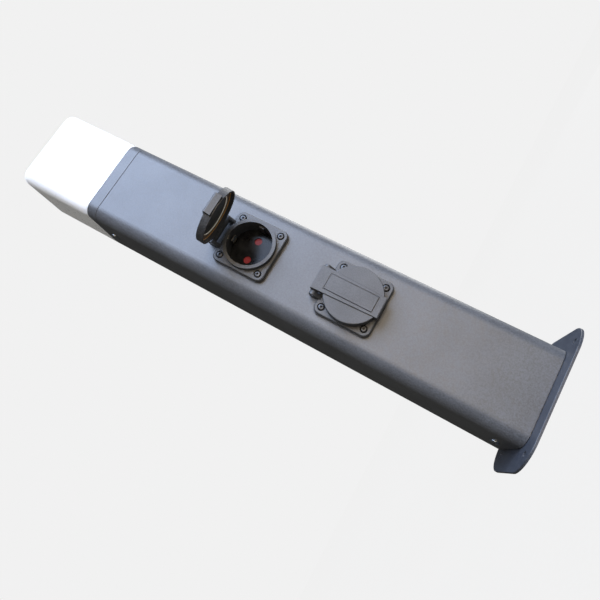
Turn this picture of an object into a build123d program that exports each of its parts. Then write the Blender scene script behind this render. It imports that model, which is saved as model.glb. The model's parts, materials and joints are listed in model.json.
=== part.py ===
"""Outdoor power post: a hollow profile on a base plate, two lidded outlets and a light head.

Frame: the post stands along +Z, its outlets face -Y, +X is to the right seen from the front.
The origin is the centre of the cable hole in the underside of the base plate, on the post's axis.
All sizes are in millimetres.
"""
import os
from math import cos, radians, sin, sqrt, tan

from build123d import *

os.makedirs("parts", exist_ok=True)

# Post
post_width = 82.0
post_depth = 76.0
post_corner = 11.0
post_wall = 2.0
total_height = 500.0
diffuser_height = 83.0
ring_height = 10.0
seat_gap = 0.5  # shadow gap between the base plate and the profile
slip = 0.25  # clearance of a spigot inside the profile or the diffuser

# Base plate
plate_thick = 2.0
plate_side = 19.0  # plate beyond the post's sides
plate_front = 17.0  # plate beyond the post's front
plate_corner = 24.0
plate_edge = 0.4
anchor_pitch_x = 92.0
anchor_pitch_y = 62.0
anchor_front = 13.0  # front anchor holes from the plate's front edge
anchor_r = 2.75
spigot_wall = 3.0
spigot_height = 26.0
cable_hole_r = 14.0
grommet_wall = 3.0
grommet_lip = 2.0
grommet_cone = 4.0

# Side screws of the base and of the top collar
head_shoulder = 0.88  # shares of a screw head's radius
head_flat = 0.6
recess_width = 0.28  # width of a cross recess as a share of its length
recess_depth = 0.55  # share of a screw head's height
side_screw_r = 2.0
side_head_r = 3.8
side_head = 1.8
side_recess = 3.4
stud_head = 3.0  # earth stud, screwed to the inside of the spigot
stud_x = 24.0
base_screw_z = 14.5
collar_screw_drop = 5.0  # collar screws below the profile's top edge

# Top collar, light head and lamp
collar_spigot = 12.0
collar_seam = 0.35  # edge break of the profile and of the collar where they meet
collar_wall = 3.0
deck_thick = 3.0
deck_hole_r = 4.5
seal_thick = 0.8
seal_inset = 0.4  # seal's edge behind the post's outline
diffuser_wall = 2.2
diffuser_top = 4.0
diffuser_round = 6.0
board_x = 58.0
board_y = 52.0
board_thick = 1.6
board_corner = 3.0
board_margin = 5.0
chip = 3.5
chip_thick = 1.0
chip_pitch = 11.0
chips_x = 4
chips_y = 3

# Outlets: radii are built up from the plug recess, heights are counted from the profile's face
lower_outlet_z = 161.0
outlet_pitch = 98.5
recess_r = 19.75
rim_wall = 2.85
rim_top = 9.0
rim_round = 1.6
rim_bevel = 0.5
floor_depth = 6.5
insert_shoulder = 0.85  # insert beyond the recess wall, where it seats
insert_thick = 6.0
insert_fit = 0.05
barrel_wall = 0.95
barrel_lap = 4.0  # barrel beyond the back of the insert
hole_gap = 0.3  # barrel to the hole in the profile
gasket_thick = 1.0
gasket_lip = 0.6
flange_thick = 3.5
flange_corner = 6.0
flange_bevel = 0.8
flange_edge = 6.0  # flange beyond its screws
flange_screw_r = 1.5
flange_head_r = 3.0
flange_head = 1.7
counterbore_gap = 0.4
counterbore = 1.2
screw_land = 0.87  # counterbore to the rim
cover_thick = 1.2  # floor of the recess, part of the insert
pin_pitch = 19.0
pin_r = 2.4
pin_hole_gap = 1.0
pivot_r = 2.0
pivot_gap = 0.05
chamber_wall = 5.1
shutter_thick = 1.8
shutter_gap = 0.3
shutter_lap = 0.8  # shutter beyond a pin hole
shutter_hub = 2.6
spring_wire_r = 0.2
spring_turns = 3
spring_room = 0.5  # pivot to the inside of the coil
spring_end_gap = 0.1
contact_base_thick = 15.5
sleeve_wall = 0.7
sleeve_grip = 0.05
sleeve_length = 12.0
pocket_gap = 0.1
earth_width = 6.0
earth_thick = 0.8
earth_stand_off = 1.55  # clip's legs to the recess wall
earth_tip = 2.5  # tips of the legs beyond the face of the profile
earth_bow = 1.0
earth_bow_rise = 3.0
earth_bow_fall = 2.0
slot_gap = 0.2
carrier_screw_r = 1.3
carrier_screw_gap = 0.1
carrier_angle = 45
carrier_head_r = 2.3
small_head = 1.6  # height of the small screws' heads
small_recess = 2.2
flange_recess = 3.4
flange_screw_reach = 3.0  # beyond the profile's wall
thread_gap = 0.2
rib_width = 4.6
rib_reach = 1.6
rib_root = 0.5
rib_top = 4.0

# Lids: lengths run from the outlet's centre towards the hinge
lid_open = 76.0  # angle at which the upper lid stands
lid_gap = 0.35  # skirt to rim
skirt_wall = 1.15
skirt_depth = 3.0  # skirt below the rim's top
hinge_clear = 5.9  # lid's edge to the hinge axis
hinge_height = 7.0
hinge_pin_r = 1.25
pin_gap = 0.05
knuckle_r = 3.0
knuckle_gap = 0.3
arm_width = 3.3
arm_root = 2.5  # arm inside the flange
lid_seal_gap = 0.15
lid_seal_thick = 1.4
lid_seal_width = 5.9
lid_seal_side_gap = 0.05
lid_plate = 1.8
lid_edge_round = 0.7
band_hinge_half = 10.8
band_front_half = 9.0
band_back = 3.0  # band beyond the hinge axis
band_front = 1.5  # band beyond the lid's front edge
band_rise = 1.1
band_round = 0.4
band_nose = 1.6  # rounding of the band's free end
panel_rise = 0.35
panel_slope = 45
panel_half = 6.8
panel_length = 42.0
panel_inset = 1.1  # panel's end from the lid's edge on the hinge side
panel_groove = 0.6  # width of the groove round the panel
panel_groove_depth = 0.45
lip_rise = 1.0  # finger lip above the skirt's edge

# Supply terminals, lamp driver and internal leads
lead_r = 3.0
lead_x = 11.0
lead_inset = 5.0  # leads from the front of the terminal block
lead_bend = 0.8  # bend radius as a share of the run behind an outlet
rail_length = 60.0
rail_height = 35.0
rail_depth = 7.5
rail_thick = 1.2
rail_crown = 25.0
rail_z = 84.0
rail_screw_pitch = 44.0
rail_screw_r = 1.5
sink_angle = 82.0
block_x = 48.0
block_y = 21.0
block_z = 30.0
block_ways = 4
way_depth = 6.0
driver_x = 40.0
driver_y = 27.0
driver_z = 70.0
driver_drop = 27.0  # driver below the profile's top edge
pad_thick = 1.0
pad_margin = 5.0  # driver's edge to its pad
driver_corner = 2.0

# Derived places
front_y = -post_depth / 2
back_y = post_depth / 2
inner_back_y = back_y - post_wall
profile_bottom = plate_thick + seat_gap
ring_top = total_height - diffuser_height
profile_top = ring_top - ring_height
diffuser_bottom = ring_top + seal_thick
collar_screw_z = profile_top - collar_screw_drop
upper_outlet_z = lower_outlet_z + outlet_pitch
outlets = (("upper", upper_outlet_z, lid_open), ("lower", lower_outlet_z, 0.0))
flange_face = gasket_thick + flange_thick
rim_r = recess_r + rim_wall
insert_r = recess_r + insert_shoulder
barrel_r = insert_r + insert_fit + barrel_wall
chamber_r = insert_r - chamber_wall
counterbore_r = flange_head_r + counterbore_gap
screw_pitch = (rim_r + screw_land + counterbore_r) * sqrt(2)
flange_size = screw_pitch + 2 * flange_edge
pin_hole_r = pin_r + pin_hole_gap
shutter_width = 2 * (pin_hole_r + shutter_lap)
shutter_reach = pin_pitch / 2 + pin_hole_r + 2 * shutter_lap
earth_r = recess_r - earth_stand_off - earth_thick
carrier_ring_r = (chamber_r + insert_r) / 2
skirt_inner_r = rim_r + lid_gap
lid_r = skirt_inner_r + skirt_wall
skirt_bottom = rim_top - skirt_depth
hinge_reach = lid_r + hinge_clear
insert_back = floor_depth + insert_thick
shutter_face = floor_depth + cover_thick + shutter_gap
spring_start = shutter_face + shutter_thick + spring_wire_r + spring_end_gap
spring_length = insert_back - spring_end_gap - spring_wire_r - spring_start
contact_back = insert_back + contact_base_thick
lid_underside = rim_top + lid_seal_gap + lid_seal_thick
lid_face = lid_underside + lid_plate
band_face = lid_face + band_rise
outlet_back_y = front_y + contact_back
block_front_y = inner_back_y - rail_depth - block_y
lead_y = block_front_y + lead_inset
lead_bend_r = lead_bend * (lead_y - outlet_back_y)
driver_bottom = profile_top - driver_drop - driver_z
block_top = rail_z + block_z / 2


def post_outline(margin, mode=Mode.ADD):
    """The post's outline, moved in by margin."""
    RectangleRounded(
        post_width - 2 * margin, post_depth - 2 * margin, max(post_corner - margin, 1), mode=mode
    )


def post_ring(outer_margin, wall, bottom, height):
    """A hollow length of the post's outline, added to the part in hand."""
    with BuildSketch(Plane.XY.offset(bottom)) as ring:
        post_outline(outer_margin)
        post_outline(outer_margin + wall, Mode.SUBTRACT)
    extrude(ring.sketch, amount=height)


def break_edge(builder, z, size):
    """Chamfer the outline of the flat face at a height."""
    flat = builder.faces().filter_by(Axis.Z).filter_by_position(Axis.Z, z - size, z + size)
    chamfer(flat.sort_by(SortBy.AREA)[-1].outer_wire().edges(), size)


def face_plane(z, height=0.0):
    """Plane over the profile's front: x to the right, y up the post, z outward."""
    return Plane(origin=(0, front_y - height, z), x_dir=(1, 0, 0), z_dir=(0, -1, 0))


def side_plane(side, z):
    """Plane on the left (-1) or right (+1) side of the profile, z outward."""
    return Plane(origin=(side * post_width / 2, 0, z), x_dir=(0, side, 0), z_dir=(side, 0, 0))


def section_plane(z, x=0.0):
    """Upright plane across an outlet at x: local x outward, local y up the post."""
    return Plane(origin=(x, front_y, z), x_dir=(0, -1, 0), z_dir=(-1, 0, 0))


def add_screw(seat, head_r, head, shank_r, length, slot):
    """A screw with a rounded head on the plane seat and a cross recess, added to the part in hand."""
    profile = Plane(origin=seat.origin, x_dir=seat.x_dir, z_dir=-seat.y_dir)
    with BuildSketch(profile) as turned:
        with BuildLine():
            Polyline(
                (0, head),
                (0, -length),
                (shank_r, -length),
                (shank_r, 0),
                (head_r, 0),
                (head_r, head / 3),
                (head_r * head_shoulder, head * 3 / 4),
                (head_r * head_flat, head),
                close=True,
            )
        make_face()
    revolve(turned.sketch, axis=Axis(seat.origin, seat.z_dir))
    with BuildSketch(seat.offset(head)) as cross:
        Rectangle(slot, slot * recess_width)
        Rectangle(slot * recess_width, slot)
    extrude(cross.sketch, amount=-head * recess_depth, mode=Mode.SUBTRACT)


def save(builder, name):
    """Label a finished piece and write it."""
    builder.part.label = name
    export_step(builder.part, f"parts/{name}.step")


# ---------------------------------------------------------------- foot of the post

plate_width = post_width + 2 * plate_side
plate_front_y = front_y - plate_front
plate_depth = back_y - plate_front_y
anchor_y = plate_front_y + anchor_front + anchor_pitch_y / 2

with BuildPart() as base_plate:
    with BuildSketch():
        with Locations((0, (back_y + plate_front_y) / 2)):
            RectangleRounded(plate_width, plate_depth, plate_corner)
        Circle(cable_hole_r, mode=Mode.SUBTRACT)
        with Locations((0, anchor_y)):
            with GridLocations(anchor_pitch_x, anchor_pitch_y, 2, 2):
                Circle(anchor_r, mode=Mode.SUBTRACT)
    extrude(amount=plate_thick)
    top = base_plate.faces().sort_by(Axis.Z)[-1]
    fillet(top.outer_wire().edges(), plate_edge)
save(base_plate, "base_plate")

earth_stud_z = plate_thick + 3 * spigot_height / 5
earth_stud_seat = Plane(
    origin=(stud_x, inner_back_y - slip - spigot_wall, earth_stud_z), x_dir=(1, 0, 0), z_dir=(0, -1, 0)
)

with BuildPart() as base_spigot:
    post_ring(post_wall + slip, spigot_wall, plate_thick, spigot_height)
    with Locations(side_plane(-1, base_screw_z), side_plane(1, base_screw_z)):
        Hole(side_screw_r, depth=post_wall + slip + spigot_wall + 1)
    with Locations(earth_stud_seat):
        Hole(side_screw_r, depth=spigot_wall)
save(base_spigot, "base_spigot")

with BuildPart() as earth_stud:
    add_screw(earth_stud_seat, side_head_r, stud_head, side_screw_r, spigot_wall, side_recess)
save(earth_stud, "earth_stud")

with BuildPart() as cable_grommet:
    with BuildSketch(Plane.XZ):
        with BuildLine():
            Polyline(
                (cable_hole_r - grommet_wall, 0),
                (cable_hole_r, 0),
                (cable_hole_r, plate_thick),
                (cable_hole_r + grommet_wall, plate_thick),
                (cable_hole_r + grommet_wall, plate_thick + grommet_lip),
                (cable_hole_r - grommet_wall / 3, plate_thick + grommet_lip + grommet_cone),
                (cable_hole_r - grommet_wall, plate_thick + grommet_lip + grommet_cone),
                close=True,
            )
        make_face()
    revolve(axis=Axis.Z)
save(cable_grommet, "cable_grommet")

# ---------------------------------------------------------------- profile

rail_screw_seats = [
    Plane(origin=(side * rail_screw_pitch / 2, back_y, rail_z), x_dir=(-1, 0, 0), z_dir=(0, 1, 0))
    for side in (-1, 1)
]

with BuildPart() as post_profile:
    post_ring(0, post_wall, profile_bottom, profile_top - profile_bottom)
    break_edge(post_profile, profile_top, collar_seam)
    with Locations(side_plane(-1, base_screw_z), side_plane(1, base_screw_z)):
        Hole(side_screw_r, depth=post_wall + 1)
    with Locations(side_plane(-1, collar_screw_z), side_plane(1, collar_screw_z)):
        Hole(side_screw_r, depth=post_wall + 1)
    with Locations(*rail_screw_seats):
        CounterSinkHole(rail_screw_r, rail_screw_r * 2, depth=post_wall + 1, counter_sink_angle=sink_angle)
    for _, z, _ in outlets:
        with Locations(face_plane(z)):
            Hole(barrel_r + hole_gap, depth=post_wall + 1)
            with GridLocations(screw_pitch, screw_pitch, 2, 2):
                Hole(flange_screw_r, depth=post_wall + 1)
save(post_profile, "post_profile")

side_grip = post_wall + slip + spigot_wall
for name, height in (("base_screws", base_screw_z), ("collar_screws", collar_screw_z)):
    with BuildPart() as side_screws:
        for side in (-1, 1):
            seat = side_plane(side, height)
            add_screw(seat, side_head_r, side_head, side_screw_r, side_grip, side_recess)
    save(side_screws, name)

# ---------------------------------------------------------------- collar and light head

with BuildPart() as top_collar:
    post_ring(post_wall + slip, collar_wall, profile_top - collar_spigot, collar_spigot)
    post_ring(0, post_wall + slip + collar_wall, profile_top, ring_height)
    break_edge(top_collar, profile_top, collar_seam)
    with BuildSketch(Plane.XY.offset(ring_top - deck_thick)):
        post_outline(post_wall)
        with Locations((lead_x, lead_y)):
            Circle(deck_hole_r, mode=Mode.SUBTRACT)
        with GridLocations(board_x - 2 * board_margin, board_y - 2 * board_margin, 2, 2):
            Circle(carrier_screw_r, mode=Mode.SUBTRACT)
    extrude(amount=deck_thick)
    post_ring(diffuser_wall + slip, collar_wall, ring_top, collar_spigot)
    with Locations(side_plane(-1, collar_screw_z), side_plane(1, collar_screw_z)):
        Hole(side_screw_r, depth=side_grip + 1)
save(top_collar, "top_collar")

with BuildPart() as diffuser_gasket:
    post_ring(seal_inset, diffuser_wall + slip - seal_inset, ring_top, seal_thick)
save(diffuser_gasket, "diffuser_gasket")

with BuildPart() as diffuser:
    with BuildSketch(Plane.XY.offset(diffuser_bottom)):
        post_outline(0)
    extrude(amount=total_height - diffuser_bottom)
    fillet(diffuser.faces().sort_by(Axis.Z)[-1].edges(), diffuser_round)
    with BuildSketch(Plane.XY.offset(diffuser_bottom)):
        post_outline(diffuser_wall)
    extrude(amount=total_height - diffuser_bottom - diffuser_top, mode=Mode.SUBTRACT)
save(diffuser, "diffuser")

with BuildPart() as led_board:
    with BuildSketch(Plane.XY.offset(ring_top)):
        RectangleRounded(board_x, board_y, board_corner)
        with GridLocations(board_x - 2 * board_margin, board_y - 2 * board_margin, 2, 2):
            Circle(carrier_screw_r, mode=Mode.SUBTRACT)
    extrude(amount=board_thick)
save(led_board, "led_board")

with BuildPart() as led_chips:
    with BuildSketch(Plane.XY.offset(ring_top + board_thick)):
        with GridLocations(chip_pitch, chip_pitch, chips_x, chips_y):
            Rectangle(chip, chip)
    extrude(amount=chip_thick)
save(led_chips, "led_chips")

with BuildPart() as led_board_screws:
    with GridLocations(board_x - 2 * board_margin, board_y - 2 * board_margin, 2, 2) as corners:
        spots = corners.locations
    for spot in spots:
        seat = Plane(origin=(spot.position.X, spot.position.Y, ring_top + board_thick))
        add_screw(seat, carrier_head_r, small_head, carrier_screw_r, board_thick + deck_thick, small_recess)
save(led_board_screws, "led_board_screws")

# ---------------------------------------------------------------- supply terminals and driver

rail_front_y = inner_back_y - rail_depth
rail_inside = rail_crown / 2 - rail_thick

with BuildPart() as terminal_rail:
    with BuildSketch(Plane(origin=(-rail_length / 2, 0, rail_z), x_dir=(0, 1, 0), z_dir=(1, 0, 0))):
        with BuildLine():
            Polyline(
                (rail_front_y, -rail_height / 2),
                (rail_front_y, -rail_inside),
                (inner_back_y - rail_thick, -rail_inside),
                (inner_back_y - rail_thick, rail_inside),
                (rail_front_y, rail_inside),
                (rail_front_y, rail_height / 2),
                (rail_front_y + rail_thick, rail_height / 2),
                (rail_front_y + rail_thick, rail_crown / 2),
                (inner_back_y, rail_crown / 2),
                (inner_back_y, -rail_crown / 2),
                (rail_front_y + rail_thick, -rail_crown / 2),
                (rail_front_y + rail_thick, -rail_height / 2),
                close=True,
            )
        make_face()
    extrude(amount=rail_length)
    with Locations(*rail_screw_seats):
        Hole(rail_screw_r, depth=post_wall + rail_thick + 1)
save(terminal_rail, "terminal_rail")

sink_depth = rail_screw_r / tan(radians(sink_angle / 2))
with BuildPart() as rail_screws:
    for seat in rail_screw_seats:
        with BuildSketch(Plane(origin=seat.origin, x_dir=seat.x_dir, z_dir=-seat.y_dir)):
            with BuildLine():
                Polyline(
                    (0, 0),
                    (rail_screw_r * 2, 0),
                    (rail_screw_r, -sink_depth),
                    (rail_screw_r, -post_wall - rail_thick),
                    (0, -post_wall - rail_thick),
                    close=True,
                )
            make_face()
        revolve(axis=Axis(seat.origin, seat.z_dir))
save(rail_screws, "rail_screws")

way_pitch = block_x / block_ways
way_seats = [
    Plane(origin=(way_pitch * (way - (block_ways - 1) / 2), block_front_y, rail_z + row),
          x_dir=(1, 0, 0), z_dir=(0, -1, 0))
    for way in range(block_ways)
    for row in (-block_z / 4, block_z / 4)
]

with BuildPart() as terminal_block:
    with BuildSketch(Plane.XY.offset(rail_z - block_z / 2)):
        with Locations((0, block_front_y + block_y / 2)):
            Rectangle(block_x, block_y)
    extrude(amount=block_z)
    with Locations(*way_seats):
        Hole(carrier_screw_r, depth=way_depth)
save(terminal_block, "terminal_block")

with BuildPart() as terminal_screws:
    for seat in way_seats:
        add_screw(seat, carrier_head_r, small_head, carrier_screw_r, way_depth, small_recess)
save(terminal_screws, "terminal_screws")

with BuildPart() as driver_pad:
    with BuildSketch(Plane.XY.offset(driver_bottom + pad_margin)):
        with Locations((0, inner_back_y - pad_thick / 2)):
            Rectangle(driver_x - 2 * pad_margin, pad_thick)
    extrude(amount=driver_z - 2 * pad_margin)
save(driver_pad, "driver_pad")

with BuildPart() as led_driver:
    with BuildSketch(Plane.XY.offset(driver_bottom)):
        with Locations((0, inner_back_y - pad_thick - driver_y / 2)):
            RectangleRounded(driver_x, driver_y, driver_corner)
    extrude(amount=driver_z)
save(led_driver, "led_driver")

# ---------------------------------------------------------------- internal leads

def outlet_entry(side, z):
    """Where a lead meets the back of an outlet."""
    return Vector(side * lead_x, outlet_back_y, z)


def lead_corner(side, z):
    """Where a lead's run from an outlet turns along the post."""
    return Vector(side * lead_x, lead_y, z)


lead_routes = {
    "supply_lead": (
        outlet_entry(-1, lower_outlet_z),
        lead_corner(-1, lower_outlet_z),
        lead_corner(-1, block_top),
    ),
    "socket_link_lead": (
        outlet_entry(1, upper_outlet_z),
        lead_corner(1, upper_outlet_z),
        lead_corner(1, lower_outlet_z),
        outlet_entry(1, lower_outlet_z),
    ),
    "lamp_lead": (
        outlet_entry(-1, upper_outlet_z),
        lead_corner(-1, upper_outlet_z),
        lead_corner(-1, driver_bottom),
    ),
}
for name, route in lead_routes.items():
    with BuildPart() as lead:
        with BuildLine() as path:
            FilletPolyline(*route, radius=lead_bend_r)
        with BuildSketch(Plane(origin=path.wire() @ 0, z_dir=path.wire() % 0)):
            Circle(lead_r)
        sweep(path=path.wire())
    save(lead, name)

with BuildPart() as led_lead:
    with BuildSketch(Plane.XY.offset(driver_bottom + driver_z)):
        with Locations((lead_x, lead_y)):
            Circle(lead_r)
    extrude(amount=ring_top - driver_bottom - driver_z)
save(led_lead, "led_lead")

# ---------------------------------------------------------------- outlets


def hinge_plane(z, angle, height):
    """Plane over a lid swung open by angle: x right, y from lid to hinge, z out of the lid.

    Its origin is over the hinge axis, height is counted from the profile's face with the lid shut.
    """
    swing = radians(angle)
    outward = Vector(0, -cos(swing), sin(swing))
    axis_point = Vector(0, front_y - hinge_height, z + hinge_reach)
    return Plane(
        origin=axis_point + outward * (height - hinge_height), x_dir=(1, 0, 0), z_dir=outward
    )


def carrier_spots():
    """The two screw places beside the insert's chamber."""
    return PolarLocations(carrier_ring_r, 2, start_angle=carrier_angle)


def earth_slots():
    """Openings for the two legs of an earth clip, cut from the sketch in hand."""
    with GridLocations(0, 2 * earth_r + earth_thick, 1, 2):
        Rectangle(earth_width + 2 * slot_gap, earth_thick + 2 * slot_gap, mode=Mode.SUBTRACT)


def build_outlet(side, z):
    """The fixed pieces of one panel outlet at height z."""
    face = face_plane(z)
    barrel_depth = insert_back + barrel_lap
    seat_height = flange_face - counterbore

    with BuildPart() as gasket:
        with BuildSketch(face):
            RectangleRounded(
                flange_size + 2 * gasket_lip, flange_size + 2 * gasket_lip, flange_corner + gasket_lip
            )
            Circle(barrel_r + hole_gap, mode=Mode.SUBTRACT)
            with GridLocations(screw_pitch, screw_pitch, 2, 2):
                Circle(flange_screw_r, mode=Mode.SUBTRACT)
        extrude(amount=gasket_thick)
    save(gasket, f"{side}_flange_gasket")

    arm_inner = band_hinge_half + knuckle_gap
    with BuildPart() as housing:
        with BuildSketch(face.offset(gasket_thick)):
            RectangleRounded(flange_size, flange_size, flange_corner)
        extrude(amount=flange_thick)
        chamfer(housing.faces().sort_by(Axis.Y)[0].outer_wire().edges(), flange_bevel)
        for x in (-arm_inner, arm_inner + arm_width):
            with BuildSketch(section_plane(z, x)):
                with Locations((hinge_height, hinge_reach)):
                    Circle(knuckle_r)
                with Locations(((gasket_thick + flange_face) / 2, (hinge_reach + flange_size / 2) / 2)):
                    Rectangle(flange_thick, hinge_reach - flange_size / 2 + 2 * arm_root)
                make_hull()
                with Locations((hinge_height, hinge_reach)):
                    Circle(hinge_pin_r, mode=Mode.SUBTRACT)
            extrude(amount=arm_width)
        with BuildSketch(face.offset(gasket_thick)):
            Circle(rim_r)
        extrude(amount=rim_top - gasket_thick)
        fillet(housing.edges().filter_by(GeomType.CIRCLE).sort_by(Axis.Y)[0], rim_round)
        with BuildSketch(face.offset(gasket_thick)):
            Circle(barrel_r)
        extrude(amount=-barrel_depth - gasket_thick)
        with BuildSketch(face.offset(rim_top)):
            Circle(recess_r)
        extrude(amount=-rim_top - floor_depth, mode=Mode.SUBTRACT)
        chamfer(
            housing.edges().filter_by(GeomType.CIRCLE).group_by(Axis.Y)[0].sort_by(SortBy.RADIUS)[0], rim_bevel
        )
        with BuildSketch(face.offset(-floor_depth)):
            Circle(insert_r + insert_fit)
        extrude(amount=floor_depth - barrel_depth, mode=Mode.SUBTRACT)
        with BuildSketch(face.offset(-floor_depth)):
            with GridLocations(2 * recess_r - rib_reach + rib_root, 0, 2, 1):
                Rectangle(rib_reach + rib_root, rib_width)
        extrude(amount=floor_depth + rib_top)
        with Locations(face.offset(flange_face)):
            with GridLocations(screw_pitch, screw_pitch, 2, 2):
                CounterBoreHole(flange_screw_r + thread_gap, counterbore_r, counterbore, depth=flange_thick)
    save(housing, f"{side}_socket_housing")

    with BuildPart() as flange_screws:
        with GridLocations(screw_pitch, screw_pitch, 2, 2) as corners:
            spots = corners.locations
        for spot in spots:
            seat = face_plane(z + spot.position.Y, seat_height)
            seat = Plane(
                origin=seat.origin + Vector(spot.position.X, 0, 0), x_dir=seat.x_dir, z_dir=seat.z_dir
            )
            length = seat_height + post_wall + flange_screw_reach
            add_screw(seat, flange_head_r, flange_head, flange_screw_r, length, flange_recess)
    save(flange_screws, f"{side}_flange_screws")

    with BuildPart() as insert:
        with BuildSketch(face.offset(-floor_depth)):
            Circle(insert_r)
            with GridLocations(pin_pitch, 0, 2, 1):
                Circle(pin_hole_r, mode=Mode.SUBTRACT)
            earth_slots()
        extrude(amount=-insert_thick)
        with BuildSketch(face.offset(-floor_depth - cover_thick)):
            Circle(chamber_r)
            Circle(pivot_r, mode=Mode.SUBTRACT)
        extrude(amount=cover_thick - insert_thick, mode=Mode.SUBTRACT)
        with BuildSketch(face.offset(-insert_back)):
            with carrier_spots():
                Circle(carrier_screw_r)
        extrude(amount=insert_thick - cover_thick, mode=Mode.SUBTRACT)
    save(insert, f"{side}_socket_insert")

    with BuildPart() as shutter:
        with BuildSketch(face.offset(-shutter_face)):
            SlotOverall(2 * shutter_reach, shutter_width)
            Circle(pivot_r + shutter_hub)
            Circle(pivot_r + pivot_gap, mode=Mode.SUBTRACT)
        extrude(amount=-shutter_thick)
    save(shutter, f"{side}_shutter")

    with BuildPart() as spring:
        with BuildLine() as coil:
            Helix(
                spring_length / spring_turns,
                spring_length,
                pivot_r + spring_room + spring_wire_r,
                center=face.offset(-spring_start).origin,
                direction=(0, 1, 0),
            )
        with BuildSketch(Plane(origin=coil.wire() @ 0, z_dir=coil.wire() % 0)):
            Circle(spring_wire_r)
        sweep(path=coil.wire(), is_frenet=True)
    save(spring, f"{side}_shutter_spring")

    sleeve_r = pin_r + sleeve_grip + sleeve_wall
    with BuildPart() as contact_base:
        with BuildSketch(face.offset(-insert_back)):
            Circle(insert_r)
            with carrier_spots():
                Circle(carrier_screw_r + carrier_screw_gap, mode=Mode.SUBTRACT)
            earth_slots()
        extrude(amount=-contact_base_thick)
        with BuildSketch(face.offset(-insert_back)):
            with GridLocations(pin_pitch, 0, 2, 1):
                Circle(sleeve_r + pocket_gap)
        extrude(amount=-sleeve_length, mode=Mode.SUBTRACT)
    save(contact_base, f"{side}_contact_base")

    with BuildPart() as contacts:
        with BuildSketch(face.offset(-insert_back - sleeve_length)):
            with GridLocations(pin_pitch, 0, 2, 1):
                Circle(sleeve_r)
                Circle(pin_r + sleeve_grip, mode=Mode.SUBTRACT)
        extrude(amount=sleeve_length - pocket_gap)
    save(contacts, f"{side}_contacts")

    with BuildPart() as carrier_screws:
        with carrier_spots() as screw_spots:
            spots = screw_spots.locations
        for spot in spots:
            seat = Plane(
                origin=(spot.position.X, front_y + contact_back, z + spot.position.Y),
                x_dir=(1, 0, 0),
                z_dir=(0, 1, 0),
            )
            length = contact_base_thick + insert_thick - cover_thick
            add_screw(seat, carrier_head_r, small_head, carrier_screw_r, length, small_recess)
    save(carrier_screws, f"{side}_carrier_screws")

    with BuildPart() as earth_clip:
        with BuildSketch(section_plane(z, earth_width / 2)):
            with BuildLine():
                Polyline(
                    (-contact_back, 0),
                    (-contact_back, earth_r),
                    (earth_tip - earth_bow_rise - earth_bow_fall, earth_r),
                    (earth_tip - earth_bow_fall, earth_r - earth_bow),
                    (earth_tip, earth_r),
                    (earth_tip, earth_r + earth_thick),
                    (earth_tip - earth_bow_fall, earth_r - earth_bow + earth_thick),
                    (earth_tip - earth_bow_rise - earth_bow_fall, earth_r + earth_thick),
                    (-contact_back - earth_thick, earth_r + earth_thick),
                    (-contact_back - earth_thick, 0),
                    close=True,
                )
            make_face()
            mirror(about=Plane(origin=(0, front_y, z), z_dir=(0, 0, 1)))
        extrude(amount=earth_width)
    save(earth_clip, f"{side}_earth_clip")

    pin_half = arm_inner + arm_width
    with BuildPart() as hinge_pin:
        with BuildSketch(Plane(origin=(-pin_half, front_y - hinge_height, z + hinge_reach), z_dir=(1, 0, 0))):
            Circle(hinge_pin_r)
        extrude(amount=2 * pin_half)
    save(hinge_pin, f"{side}_hinge_pin")


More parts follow.
